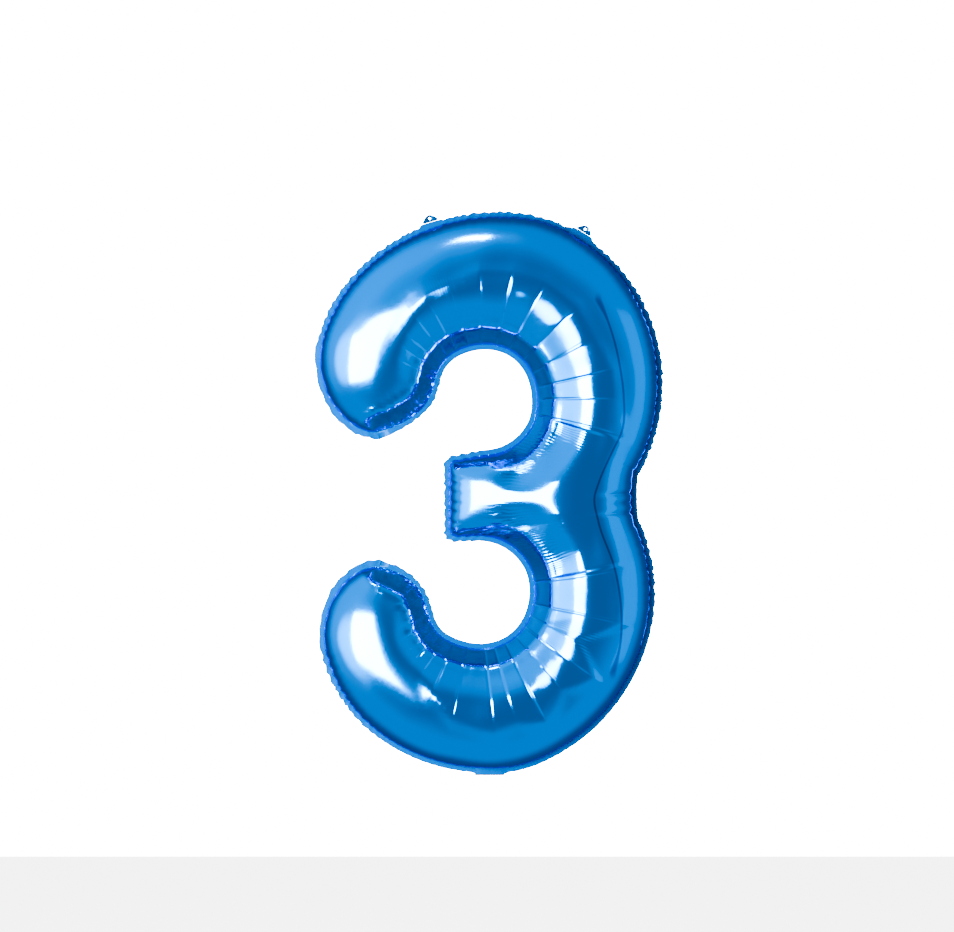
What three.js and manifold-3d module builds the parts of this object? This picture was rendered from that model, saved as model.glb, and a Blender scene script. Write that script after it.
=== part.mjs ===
// An inflated foil balloon shaped as the figure 3, hung from two eyelet tabs.
//
// Two sheets of metallised film are cut to the same outline, welded together round the edge and
// filled with gas. The weld leaves a flat flange all round. A self-sealing valve, which is two thin
// films, passes through the flange at the bottom into a filling tail, which is folded back behind
// the balloon. Film is far too thin to model, so every sheet is given a plain thickness here.
//
// Millimetres, +Z up, the front faces -Y and the weld lies in the plane Y = 0.
// The origin is midway between the two eyelets that the balloon hangs from.

import * as THREE from "three";
import { mergeVertices } from "three/addons/utils/BufferGeometryUtils.js";
import Module from "manifold-3d";

// Stated thicknesses and gaps.
const FILM = 0.8; // thickness given to a foil sheet
const VALVE_FILM = 0.4; // thickness given to a valve film
const GAP = 0.3; // clearance between neighbouring sheets
const SEAL_HALF = 0.6; // half thickness of the fused layer between the two sheets
const SHEET_Y = SEAL_HALF + GAP; // where the inner face of each foil sheet lies
const VALVE_Y = SEAL_HALF - VALVE_FILM; // where the inner face of each valve film lies
const FLANGE = 8; // width of the welded flange

// The figure, in a drawing frame with its origin at the middle of the figure's outline.
// Radii are to the flange's outer edge.
const UPPER = { x: -6.7, z: 143.4 }; // centre of the upper bowl
const LOWER = { x: -14, z: -158.7 }; // centre of the lower bowl
const UPPER_HOLE = 78;
const LOWER_HOLE = 80.5;
const LOWER_RIM_DEPTH = 286; // greatest radius of the lower rim, straight below its centre
const NOTCH = { upper: -25, lower: 23 }; // polar angles where the two bowls meet the waist
// The outer edge of each bowl: polar angle and radius, from the waist round to the free end.
const UPPER_RIM = [[-25, 271], [0, 280], [30, 294], [60, 305], [95, 292], [140, 282], [160, 276]];
const LOWER_RIM = [[23, 276], [0, 277], [-60, 281], [-80, 286], [-120, 278], [-145, 272], [-158, 267]];
// Each free end closes as two superellipse quarters that meet at its tip, full on the inner side
// and slanted on the outer side.
const UPPER_END = { start: 160, tip: 199.5, radius: 172 };
const LOWER_END = { start: -158, tip: -197.5, radius: 160 };
const END_POWER = { inner: 3, outer: 1.45 };
const ARM = { left: -68, top: 57, bottom: -79, corner: 16 };
const WAIST = { x: 233, z: -9, reach: 45 }; // the outer edge at the waist, and how far its curve pulls
// The arm's edge runs round part of each bowl's hole, then straight to its own rounded corners.
const ARM_HOLE_END = 95; // polar angle, up or down, where the edge leaves a bowl's hole
const ARM_UPPER_X = -30; // where the straight upper edge starts
const ARM_LOWER_X = -34; // where the straight lower edge starts
const CORNER_OVERRUN = 10; // degrees that a corner's arc would run past square at each end

// Inflation: a screened membrane over the outline, whose root is the bulge of the film.
const BULGE_REACH = 80; // beyond this half width the tube grows little thicker
const OUTWARD_LEAN = 0.5; // how far the crest moves towards the outer edge
const FULLNESS = 0.84; // film cannot stretch, so it stays flatter than a round tube
const RELAX_PASSES = 900;
const LOAD_CENTRE = 2; // distance from a bowl's centre, in hole radii, where the load is plain
const LOAD_LIMIT = 3; // beyond this many hole radii the load grows no more

// Mesh steps.
const HALVINGS = 30; // halvings of a rim's curve when looking for an angle
const TINY = 1e-6; // smallest triangle area that is divided by
const WELD_GAP = 1e-4; // points nearer than this are one point
const RIM_STEPS = 18; // stations round each bowl
const END_STEPS = 6; // stations in each free end
const CROSS_STEPS = 6; // quads across the stroke
const ARM_ARC_STEPS = 7; // straight pieces along each part of a hole beside the arm
const CORNER_STEPS = 3;
const ARM_END_STEPS = 5;
const PLATE_STEPS = 4; // straight pieces in each curve of a flat plate

// Hanging tabs: where each stands on the upper rim, as a polar angle.
const TAB_LEFT_ANGLE = 106.4;
const TAB_RIGHT_ANGLE = 58.9;
const TAB = { width: 28, height: 13, hole: 2.5, holeHeight: 6.5, root: 0.9, flare: 4, brow: 6 };

// Filling tail and valve.
const TAIL = { x: 4, width: 46, length: 66, corner: 8, weld: 6, root: 1.2 };
const VALVE = { width: 30, inside: 62, corner: 3, sleeveCorner: 2, sleeveShort: 8 };
const SLOT = { width: 33, depth: 4, height: 60 }; // the gap left in the fused layer for the valve

const rad = THREE.MathUtils.degToRad;

function polar(centre, angle, radius) {
  const x = centre.x + radius * Math.cos(rad(angle));
  const z = centre.z + radius * Math.sin(rad(angle));
  return new THREE.Vector2(x, z);
}

const wasm = await Module();
wasm.setup();

// Radius of a rim at an angle, on a smooth curve through its stated points.
function rimRadius(rim, angle) {
  const curve = new THREE.SplineCurve(rim.map(([a, r]) => new THREE.Vector2(a, r)));
  const rising = rim[rim.length - 1][0] > rim[0][0];
  let low = 0;
  let high = 1;
  for (let i = 0; i < HALVINGS; i += 1) {
    const middle = (low + high) / 2;
    const before = curve.getPoint(middle).x < angle === rising;
    low = before ? middle : low;
    high = before ? high : middle;
  }
  return curve.getPoint((low + high) / 2).y;
}

// One bowl as rungs, each running from the inner edge to the outer edge, from the waist to the tip.
function bowlRungs(centre, hole, rim, end, notch, inset) {
  const rungs = [];
  for (let i = 0; i <= RIM_STEPS; i += 1) {
    const angle = notch + ((end.start - notch) * i) / RIM_STEPS;
    rungs.push([
      polar(centre, angle, hole + inset),
      polar(centre, angle, rimRadius(rim, angle) - inset),
    ]);
  }
  const outer = rimRadius(rim, end.start) - inset;
  const span = end.tip - end.start;
  const shorter = span * (1 - inset / (rad(Math.abs(span)) * end.radius));
  for (let i = 1; i <= END_STEPS; i += 1) {
    const along = i === END_STEPS ? 1 : Math.sin(((Math.PI / 2) * i) / END_STEPS);
    const side = (edge, power) => {
      const share = (1 - along ** power) ** (1 / power);
      return polar(centre, end.start + shorter * along, end.radius + (edge - end.radius) * share);
    };
    rungs.push([side(hole + inset, END_POWER.inner), side(outer, END_POWER.outer)]);
  }
  return rungs;
}

// The inner edge along the middle arm, from the upper bowl's waist rung to the lower bowl's.
function armEdge(inset) {
  const points = [];
  const arc = (centre, radius, from, to, steps) => {
    for (let i = 1; i < steps; i += 1) {
      points.push(polar(centre, from + ((to - from) * i) / steps, radius));
    }
  };
  const left = ARM.left + inset;
  const top = ARM.top - inset;
  const bottom = ARM.bottom + inset;
  const corner = ARM.corner - inset / 2;
  const high = top - corner;
  const low = bottom + corner;
  const over = CORNER_OVERRUN;
  arc(UPPER, UPPER_HOLE + inset, NOTCH.upper, -ARM_HOLE_END, ARM_ARC_STEPS);
  points.push(new THREE.Vector2(ARM_UPPER_X, top));
  arc({ x: left + corner, z: high }, corner, 90 - over, 180 + over, CORNER_STEPS);
  for (let i = 1; i < ARM_END_STEPS; i += 1) {
    points.push(new THREE.Vector2(left, high + ((low - high) * i) / ARM_END_STEPS));
  }
  arc({ x: left + corner, z: low }, corner, 180 - over, 270 + over, CORNER_STEPS);
  points.push(new THREE.Vector2(ARM_LOWER_X, bottom));
  arc(LOWER, LOWER_HOLE + inset, ARM_HOLE_END, NOTCH.lower, ARM_ARC_STEPS);
  return points;
}

// All the rungs, from the upper tip to the lower tip. Through the waist they fan out from the
// outer edge, which is short there, to the long edge of the arm.
function ladder(inset) {
  const upper = bowlRungs(UPPER, UPPER_HOLE, UPPER_RIM, UPPER_END, NOTCH.upper, inset).reverse();
  const lower = bowlRungs(LOWER, LOWER_HOLE, LOWER_RIM, LOWER_END, NOTCH.lower, inset);
  const edge = armEdge(inset);
  const waist = new THREE.CubicBezierCurve(
    upper[upper.length - 1][1],
    new THREE.Vector2(WAIST.x - inset, WAIST.z + WAIST.reach),
    new THREE.Vector2(WAIST.x - inset, WAIST.z - WAIST.reach),
    lower[0][1],
  );
  const fan = edge.map((point, i) => [point, waist.getPoint((i + 1) / (edge.length + 1))]);
  return [...upper, ...fan, ...lower];
}

// The closed outline of a ladder, as a loop of points.
function outline(rungs) {
  const inner = rungs.map(([a]) => a);
  const outer = rungs.map(([, b]) => b).slice(1, -1).reverse();
  return [...inner, ...outer];
}

// A flat grid over a ladder: its points, its triangles, and the points round its edge in order.
function grid(rungs) {
  const points = [];
  const index = rungs.map(([a, b], i) => {
    const tip = i === 0 || i === rungs.length - 1;
    return Array.from({ length: CROSS_STEPS + 1 }, (_, j) => {
      if (tip && j > 0) return points.length - 1;
      const share = (1 - Math.cos((Math.PI * j) / CROSS_STEPS)) / 2;
      points.push(new THREE.Vector2().lerpVectors(a, b, share));
      return points.length - 1;
    });
  });
  const triangles = [];
  for (let i = 0; i + 1 < rungs.length; i += 1) {
    for (let j = 0; j < CROSS_STEPS; j += 1) {
      const [a, b, c, d] = [index[i][j], index[i][j + 1], index[i + 1][j + 1], index[i + 1][j]];
      const pair = [[a, b, c], [a, c, d]];
      triangles.push(...pair.filter((t) => new Set(t).size === t.length));
    }
  }
  const inner = index.map((row) => row[0]);
  const outer = index.map((row) => row[CROSS_STEPS]).slice(1, -1).reverse();
  return { points, triangles, loop: [...inner, ...outer] };
}

// How far the film bulges at each grid point: the root of a screened membrane held at the edge.
function bulge({ points, triangles, loop }) {
  const links = points.map(() => new Map());
  const area = points.map(() => 0);
  for (const t of triangles) {
    const [a, b, c] = t.map((i) => points[i]);
    const twice = Math.abs((b.x - a.x) * (c.y - a.y) - (b.y - a.y) * (c.x - a.x));
    t.forEach((i, k) => {
      const [j, o] = [t[(k + 1) % 3], t[(k + 2) % 3]];
      const u = points[i].clone().sub(points[o]);
      const v = points[j].clone().sub(points[o]);
      const weight = u.dot(v) / Math.max(twice, TINY) / 2;
      links[i].set(j, (links[i].get(j) || 0) + weight);
      links[j].set(i, (links[j].get(i) || 0) + weight);
      area[i] += twice / 6;
    });
  }
  // The load grows away from the nearer bowl's centre, which moves the crest outwards.
  const load = points.map((p) => {
    const upper = Math.hypot(p.x - UPPER.x, p.y - UPPER.z) / UPPER_HOLE;
    const lower = Math.hypot(p.x - LOWER.x, p.y - LOWER.z) / LOWER_HOLE;
    return 1 + OUTWARD_LEAN * (Math.min(upper, lower, LOAD_LIMIT) - LOAD_CENTRE);
  });
  const held = new Set(loop);
  const height = points.map(() => 0);
  const sums = links.map((m) => [...m.values()].reduce((s, w) => s + w, 0));
  const free = points.map((_, i) => i).filter((i) => !held.has(i));
  for (let pass = 0; pass < RELAX_PASSES; pass += 1) {
    for (const i of free) {
      const pulls = [...links[i]].reduce((sum, [j, w]) => sum + w * height[j], area[i] * load[i]);
      height[i] = pulls / (sums[i] + area[i] / BULGE_REACH ** 2);
    }
  }
  return height.map((h) => FULLNESS * Math.sqrt(Math.max(0, 2 * h)));
}

// A mesh's triangles as a manifold-3d solid, and back.
function solid(geometry) {
  const bare = geometry.clone();
  bare.deleteAttribute("normal");
  bare.deleteAttribute("uv");
  const merged = mergeVertices(bare, WELD_GAP);
  return new wasm.Manifold(new wasm.Mesh({
    numProp: 3,
    vertProperties: new Float32Array(merged.attributes.position.array),
    triVerts: new Uint32Array(merged.index.array),
  }));
}

function geometryOf(body) {
  const mesh = body.getMesh();
  const positions = new Float32Array(mesh.numVert * 3);
  for (let i = 0; i < mesh.numVert; i += 1) {
    positions.set(mesh.vertProperties.subarray(i * mesh.numProp, i * mesh.numProp + 3), i * 3);
  }
  return new THREE.BufferGeometry()
    .setAttribute("position", new THREE.BufferAttribute(positions, 3))
    .setIndex(new THREE.BufferAttribute(new Uint32Array(mesh.triVerts), 1));
}

// A flat plate from a shape drawn in X and Z, between two values of Y.
function plate(shape, low, high) {
  const options = { depth: high - low, bevelEnabled: false, curveSegments: PLATE_STEPS };
  const geometry = new THREE.ExtrudeGeometry(shape, options);
  geometry.rotateX(Math.PI / 2).translate(0, high, 0);
  return geometryOf(solid(geometry));
}

// One foil sheet: the bulging film and its flat flange, as an outer and an inner face.
// The back sheet mirrors the front one.
function foilSheet(side) {
  const net = grid(ladder(FLANGE));
  const height = bulge(net);
  const rim = outline(ladder(0));
  const first = net.points.length;
  const flat = [...net.points, ...rim];
  const faces = [...net.triangles];
  net.loop.forEach((a, k) => {
    const next = (k + 1) % rim.length;
    faces.push([a, net.loop[next], first + next], [a, first + next, first + k]);
  });
  const outerFace = SHEET_Y + FILM;
  const level = flat.map((p, i) => new THREE.Vector3(p.x, side * (outerFace + (height[i] || 0)), p.y));
  const outer = new THREE.BufferGeometry().setFromPoints(level).setIndex(faces.flat());
  outer.computeVertexNormals();
  const welded = new Set(net.loop);
  const inward = level.map((_, i) => {
    if (i >= first || welded.has(i)) {
      return new THREE.Vector3(0, -side, 0);
    }
    const normal = new THREE.Vector3().fromBufferAttribute(outer.attributes.normal, i);
    return normal.multiplyScalar(-Math.sign(normal.y) * side);
  });
  const count = flat.length;
  const shell = [...level, ...level.map((p, i) => p.clone().addScaledVector(inward[i], FILM))];
  const closing = rim.flatMap((_, k) => {
    const [a, b] = [first + k, first + ((k + 1) % rim.length)];
    return [[a, b, b + count], [a, b + count, a + count]];
  });
  const all = [...faces, ...faces.map(([a, b, c]) => [a + count, c + count, b + count]), ...closing];
  const normalY = outer.attributes.normal.getY(first);
  const outwards = normalY * side > 0 ? all : all.map(([a, b, c]) => [a, c, b]);
  return new THREE.BufferGeometry().setFromPoints(shell).setIndex(outwards.flat());
}

// A ring of flange: everything between the weld and the outer edge.
function flangeShape(edgeInset, weldInset) {
  const shape = new THREE.Shape(outline(ladder(edgeInset)));
  shape.holes.push(new THREE.Path(outline(ladder(weldInset)).reverse()));
  return shape;
}

// The height of the flange's lower edge above the tail.
function bottomEdge() {
  const slope = Math.atan2(-LOWER_RIM_DEPTH, TAIL.x - LOWER.x);
  return LOWER.z + rimRadius(LOWER_RIM, THREE.MathUtils.radToDeg(slope)) * Math.sin(slope);
}

// The fused layer in the flange, open at the bottom where the valve passes through.
function heatSeal() {
  const ring = solid(plate(flangeShape(GAP, FLANGE - GAP), -SEAL_HALF, SEAL_HALF));
  const slot = new THREE.BoxGeometry(SLOT.width, SLOT.depth, SLOT.height);
  slot.translate(TAIL.x, 0, bottomEdge());
  return geometryOf(ring.subtract(solid(slot)));
}

// A round-topped tab with an eyelet, drawn upwards from its root.
function tabGeometry() {
  const half = TAB.width / 2;
  const shape = new THREE.Shape();
  shape.moveTo(half, TAB.root);
  const flare = half - TAB.flare;
  const brow = half - TAB.brow;
  shape.bezierCurveTo(flare, TAB.height / 2, brow, TAB.height, 0, TAB.height);
  shape.bezierCurveTo(-brow, TAB.height, -flare, TAB.height / 2, -half, TAB.root);
  const eyelet = new THREE.Path().absarc(0, TAB.holeHeight, TAB.hole, 0, 2 * Math.PI, true);
  shape.holes.push(eyelet);
  return plate(shape, -SEAL_HALF, SEAL_HALF);
}

function rounded(width, from, to, corner) {
  const half = width / 2;
  const shape = new THREE.Shape();
  shape.moveTo(-half, from);
  shape.lineTo(half, from);
  shape.lineTo(half, to - corner);
  shape.absarc(half - corner, to - corner, corner, 0, Math.PI / 2);
  shape.lineTo(-half + corner, to);
  shape.absarc(-half + corner, to - corner, corner, Math.PI / 2, Math.PI);
  shape.lineTo(-half, from);
  return shape;
}

const foil = new THREE.MeshStandardMaterial({ color: 0x0078c8, metalness: 0.9, roughness: 0.22 });
const seal = new THREE.MeshStandardMaterial({ color: 0x1f4f9a, metalness: 0.5, roughness: 0.4 });
const clear = new THREE.MeshStandardMaterial({ color: 0xd8dde0, metalness: 0, roughness: 0.35 });

function named(name, geometry, material) {
  const mesh = new THREE.Mesh(geometry, material);
  mesh.name = name;
  return mesh;
}

// Everything is drawn about the figure's middle, then moved so that the eyelets' midpoint is the
// origin.
const figure = new THREE.Group();
figure.add(
  named("front_foil_panel", foilSheet(-1), foil),
  named("back_foil_panel", foilSheet(1), foil),
  named("perimeter_heat_seal", heatSeal(), seal),
);

// Hanging tabs, standing on the upper rim.
const eyelets = [];
const tabs = [["hang_tab_left", TAB_LEFT_ANGLE], ["hang_tab_right", TAB_RIGHT_ANGLE]];
for (const [name, angle] of tabs) {
  const root = polar(UPPER, angle, rimRadius(UPPER_RIM, angle));
  const tab = named(name, tabGeometry(), foil);
  tab.position.set(root.x, 0, root.y);
  tab.rotation.y = rad(90 - angle);
  figure.add(tab);
  eyelets.push(polar(UPPER, angle, rimRadius(UPPER_RIM, angle) + TAB.holeHeight));
}

// The valve's inner length, standing between the sheets inside the balloon.
const bottom = bottomEdge();
const valveShape = () => rounded(VALVE.width, bottom + GAP, bottom + VALVE.inside, VALVE.corner);
const valveFront = named("valve_front_film", plate(valveShape(), -SEAL_HALF, -VALVE_Y), clear);
const valveBack = named("valve_back_film", plate(valveShape(), VALVE_Y, SEAL_HALF), clear);
valveFront.position.x = TAIL.x;
valveBack.position.x = TAIL.x;
figure.add(valveFront, valveBack);

// The tail, drawn hanging down from the flange and then folded back behind the balloon.
const tail = new THREE.Group();
const tailShape = () => rounded(TAIL.width, TAIL.root, TAIL.length, TAIL.corner);
const weldShape = (side) => {
  const middle = side * (TAIL.width / 2 - TAIL.weld / 2);
  const half = TAIL.weld / 2;
  return new THREE.Shape([
    new THREE.Vector2(middle - half, TAIL.root),
    new THREE.Vector2(middle + half, TAIL.root),
    new THREE.Vector2(middle + half, TAIL.length - TAIL.corner),
    new THREE.Vector2(middle - half, TAIL.length - TAIL.corner),
  ]);
};
const sleeveLength = TAIL.length - VALVE.sleeveShort;
const sleeveShape = () => rounded(VALVE.width, TAIL.root, sleeveLength, VALVE.sleeveCorner);
tail.add(
  named("tail_front_film", plate(tailShape(), SHEET_Y, SHEET_Y + FILM), foil),
  named("tail_back_film", plate(tailShape(), -SHEET_Y - FILM, -SHEET_Y), foil),
  named("tail_side_weld_left", plate(weldShape(-1), -SEAL_HALF, SEAL_HALF), seal),
  named("tail_side_weld_right", plate(weldShape(1), -SEAL_HALF, SEAL_HALF), seal),
  named("valve_front_sleeve", plate(sleeveShape(), VALVE_Y, SEAL_HALF), clear),
  named("valve_back_sleeve", plate(sleeveShape(), -SEAL_HALF, -VALVE_Y), clear),
);
tail.position.set(TAIL.x, 0, bottom - SHEET_Y - FILM - GAP);
tail.rotation.x = -Math.PI / 2;
figure.add(tail);

const middle = eyelets[0].clone().add(eyelets[1]).multiplyScalar(0.5);
figure.position.set(-middle.x, 0, -middle.y);

const balloon = new THREE.Group();
balloon.add(figure);
export default balloon;
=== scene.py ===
"""Looks for an inflated foil balloon shaped as the figure 3.

Each foil sheet is a ladder of stations that run across the stroke from its inner weld to its outer
weld. A screened membrane gives how far the film bulges, and creases, puckers and soft dents are
then pressed into it along its normals. Lengths are in millimetres until an object is made.
"""

import math

import bmesh
import bpy
import numpy as np
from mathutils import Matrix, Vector


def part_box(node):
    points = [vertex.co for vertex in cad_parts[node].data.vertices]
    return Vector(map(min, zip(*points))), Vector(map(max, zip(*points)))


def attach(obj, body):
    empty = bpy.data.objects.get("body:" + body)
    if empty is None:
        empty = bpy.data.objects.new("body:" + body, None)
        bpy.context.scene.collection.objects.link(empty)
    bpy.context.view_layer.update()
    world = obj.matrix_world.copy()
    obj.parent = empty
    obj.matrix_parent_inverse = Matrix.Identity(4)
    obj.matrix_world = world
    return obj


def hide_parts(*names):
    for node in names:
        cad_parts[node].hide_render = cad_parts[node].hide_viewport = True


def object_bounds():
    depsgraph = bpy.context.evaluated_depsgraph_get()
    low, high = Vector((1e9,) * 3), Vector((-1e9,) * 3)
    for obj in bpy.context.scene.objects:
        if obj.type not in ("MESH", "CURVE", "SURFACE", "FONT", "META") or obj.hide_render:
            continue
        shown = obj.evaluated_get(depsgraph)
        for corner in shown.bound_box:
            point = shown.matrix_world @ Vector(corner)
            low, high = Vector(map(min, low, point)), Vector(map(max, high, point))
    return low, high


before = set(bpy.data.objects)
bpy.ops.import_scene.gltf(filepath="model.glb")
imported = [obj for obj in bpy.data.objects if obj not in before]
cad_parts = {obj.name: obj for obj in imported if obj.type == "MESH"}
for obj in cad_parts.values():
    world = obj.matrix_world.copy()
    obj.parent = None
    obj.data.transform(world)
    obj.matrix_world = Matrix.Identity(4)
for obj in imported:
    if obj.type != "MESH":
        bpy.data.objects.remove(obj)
cad_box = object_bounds()

MM = 0.001

# ---------------------------------------------------------------- the figure's driving dimensions
# Drawn about the middle of the figure's outline. Radii are to the flange's outer edge, and each
# rim is a list of (polar angle, radius) from the waist round to where the free end starts to close.
FLANGE = 8.0
UPPER = {
    "centre": (-6.7, 143.4),
    "inner": [(-25, 78), (0, 76), (60, 80), (100, 78.5), (140, 77.4), (160, 72.5)],
    "outer": [(-25, 271), (0, 280.5), (25, 292), (50, 300), (70, 302), (90, 294.5), (110, 288),
              (130, 284.5), (150, 280.3), (160, 276.6)],
    "end": {"start": 160, "tip": 199.5, "radius": 172},
}
LOWER = {
    "centre": (-14.0, -158.7),
    "inner": [(23, 81), (0, 79.5), (-55, 81), (-110, 79.5), (-140, 81.5), (-158, 77)],
    "outer": [(23, 276.5), (0, 277), (-30, 277), (-60, 282), (-78, 286), (-90, 282.5),
              (-115, 278), (-135, 275), (-150, 269.5), (-158, 265)],
    "end": {"start": -158, "tip": -197.5, "radius": 160},
}
END_POWER = {"inner": 3.0, "outer": 1.45}
ARM = {"left": -68.0, "top": 57.0, "bottom": -79.0, "corner": 16.0}
WAIST = {"x": 233.0, "z": -9.0, "reach": 45.0}
TAIL_X = 4.0
TAIL_HALF = 15.0  # half width over which the two sheets part round the valve
SHEET_GAP = 0.12  # from the plane of the weld to each sheet
VALVE_GAP = 0.85  # the same where the valve passes between the sheets
FILM_THICKNESS = 0.16
VALVE_THICKNESS = 0.12
# Each hanging tab: polar angle, radius of the line it folds about, and its body.
TABS = {
    "hang_tab_left": (106.45, 291.3, "left_tab"),
    "hang_tab_right": (59.15, 306.5, "right_tab"),
}
TAB = {"width": 28.0, "height": 11.3, "hole": 2.0, "hole_height": 5.6, "square": 1.9, "full": 1.05}
TAB_SEAM = 0.32  # how far short of a tab's fold line the flange stops
TAB_MESH = {"ring": 36, "rows": 6, "reach": 18.0, "steps": 400, "crumple": 0.9, "thick": 0.3}

# Mesh: stations along the stroke and rows across it.
BOWL_STATIONS = 300
END_STATIONS = 26
ROWS = 44
ARM_STATIONS = 230
FLANGE_SHARES = (0.04, 0.35, 0.68, 0.96, 1.0)  # rows across the flange, close beside each edge
FLANGE_ROWS = len(FLANGE_SHARES)

# Inflation.
CELL = 4.0  # spacing of the membrane's grid
# Solving it: sweeps and their overshoot, the least share of a cut cell, how soon the height springs
# up from the weld, how near the weld it isn't trusted, and how many cells the rest is spread over.
SOLVER = {"sweeps": 500, "overshoot": 1.9, "least": 0.08, "spring": 12.0, "near": 2.0, "spread": 6}
BULGE_REACH = 80.0  # the membrane's height levels off beyond this distance from a weld
FULLNESS = 0.90
EDGE_SOFTNESS = 3.0
# Above an inside curve the film stands up as a straight wall, kinks, and then rises less steeply.
# The kink is rounded over "blend", and over "crisp" less beside the flat top.
WALL = {"out": 27.0, "height": 40.0, "slope": 0.58, "blend": 3.0, "crisp": 2.3}
# Along the kink runs a bead that wanders and swells where the film is loose.
BEAD = {"out": 30.0, "rise": 3.6, "half": 6.5, "tight": 0.08, "wander": 2.2, "least": 0.3,
        "loose": 0.55, "uneven": 0.5}
LOOSE = {"end": (90, 190), "arm": (110, 170)}  # along the weld from a free end and from the arm's middle
SHOULDER = {"out": 60.0, "reach": 42.0, "first": 0.50, "last": 0.03}  # where the rise dies away
PLATEAU = 67.5  # height of the flat top between the two bowls
# The flat top sinks to each side of the waist's level, towards the creased rings.
SUNK = {"from": 25.0, "slope": 0.13, "most": 7.5, "start": 95.0, "stop": 245.0}
# The ridge of the middle arm is lower by a share until it has joined the right side.
ARM_RIDGE = {"share": 0.07, "start": 40.0, "stop": 108.0, "near": 12.0, "far": 62.0}
ARM_ZONE = {"right": 45.0, "fade": 50.0, "reach": 85.0, "soft": 25.0}  # edges with no creased ring
CREST = {"rise": 3.0, "inside": 60.0, "outside": 20.0}  # the edge where the flattened film ends


def ramp(x, start, stop):
    t = np.clip((x - start) / (stop - start), 0, 1)
    return t * t * (3 - 2 * t)


def smooth_through(points, x):
    """Values at x of a smooth curve through (place, value) points."""
    points = sorted(points)
    px = np.array([p[0] for p in points], float)
    py = np.array([p[1] for p in points], float)
    slope = np.gradient(py, px)
    x = np.clip(np.asarray(x, float), px[0], px[-1])
    k = np.clip(np.searchsorted(px, x, side="right") - 1, 0, len(px) - 2)
    gap = px[k + 1] - px[k]
    t = (x - px[k]) / gap
    start = (1 + 2 * t) * (1 - t) ** 2 * py[k] + t * (1 - t) ** 2 * gap * slope[k]
    return start + t * t * (3 - 2 * t) * py[k + 1] + t * t * (t - 1) * gap * slope[k + 1]


def polar(centre, angle, radius):
    angle = np.radians(angle)
    return np.stack([centre[0] + radius * np.cos(angle), centre[1] + radius * np.sin(angle)], -1)


def bowl_edges(bowl, inset):
    """The inner and outer edge of one bowl, station by station, from the waist to the tip."""
    notch = bowl["inner"][0][0]
    end = bowl["end"]
    angle = np.linspace(notch, end["start"], BOWL_STATIONS)
    inner = polar(bowl["centre"], angle, smooth_through(bowl["inner"], angle) + inset)
    outer = polar(bowl["centre"], angle, smooth_through(bowl["outer"], angle) - inset)
    span = end["tip"] - end["start"]
    span *= 1 - inset / (abs(math.radians(span)) * end["radius"])
    along = np.sin(np.linspace(0, np.pi / 2, END_STATIONS + 1)[1:])
    closing = end["start"] + span * along

    def side(edge, power):
        share = np.maximum(0, 1 - along**power) ** (1 / power)
        return polar(bowl["centre"], closing, end["radius"] + (edge - end["radius"]) * share)

    first = smooth_through(bowl["inner"], end["start"]) + inset
    last = smooth_through(bowl["outer"], end["start"]) - inset
    inner = np.concatenate([inner, side(first, END_POWER["inner"])])
    outer = np.concatenate([outer, side(last, END_POWER["outer"])])
    return inner, outer


def run_along(path):
    """Length along a path of points, at each of them."""
    return np.concatenate([[0], np.cumsum(np.linalg.norm(np.diff(path, axis=0), axis=1))])


def resample(path, count):
    """count points at equal steps along a path of points."""
    run = run_along(path)
    at = np.linspace(0, run[-1], count)
    return np.stack([np.interp(at, run, path[:, 0]), np.interp(at, run, path[:, 1])], -1)


def arm_edge(inset, count):
    """The inner edge round the middle arm, from the upper bowl's waist station to the lower's."""
    left = ARM["left"] + inset
    top = ARM["top"] - inset
    bottom = ARM["bottom"] + inset
    corner = ARM["corner"] - inset / 2
    up, low = UPPER["centre"], LOWER["centre"]
    up_radius = UPPER["inner"][0][1] + inset
    low_radius = LOWER["inner"][0][1] + inset

    def arc(centre, radius, start, stop, steps=24):
        return polar(centre, np.linspace(start, stop, steps), radius)

    def ease(a, b, steps=12):
        t = np.linspace(0, 1, steps)[1:-1, None]
        return a + (b - a) * t

    upper_arc = arc(up, up_radius, UPPER["inner"][0][0], -88)
    upper_corner = arc((left + corner, top - corner), corner, 90, 180)
    lower_corner = arc((left + corner, bottom + corner), corner, 180, 270)
    lower_arc = arc(low, low_radius, 92, LOWER["inner"][0][0])
    path = [
        upper_arc,
        ease(upper_arc[-1], upper_corner[0]),
        upper_corner,
        ease(upper_corner[-1], lower_corner[0]),
        lower_corner,
        ease(lower_corner[-1], lower_arc[0]),
        lower_arc,
    ]
    return resample(np.concatenate(path), count)


def bezier(a, b, c, d, count):
    t = np.linspace(0, 1, count)[:, None]
    return (1 - t) ** 3 * a + 3 * t * (1 - t) ** 2 * b + 3 * t * t * (1 - t) * c + t**3 * d


def ladder(inset):
    """Inner and outer edges of the whole figure, from the upper tip to the lower tip."""
    up_in, up_out = bowl_edges(UPPER, inset)
    low_in, low_out = bowl_edges(LOWER, inset)
    waist = bezier(
        up_out[0],
        np.array([WAIST["x"] - inset, WAIST["z"] + WAIST["reach"]]),
        np.array([WAIST["x"] - inset, WAIST["z"] - WAIST["reach"]]),
        low_out[0],
        ARM_STATIONS,
    )
    waist = resample(waist, ARM_STATIONS)
    inner = np.concatenate([up_in[:0:-1], arm_edge(inset, ARM_STATIONS), low_in[1:]])
    outer = np.concatenate([up_out[:0:-1], waist, low_out[1:]])
    return inner, outer


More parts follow.
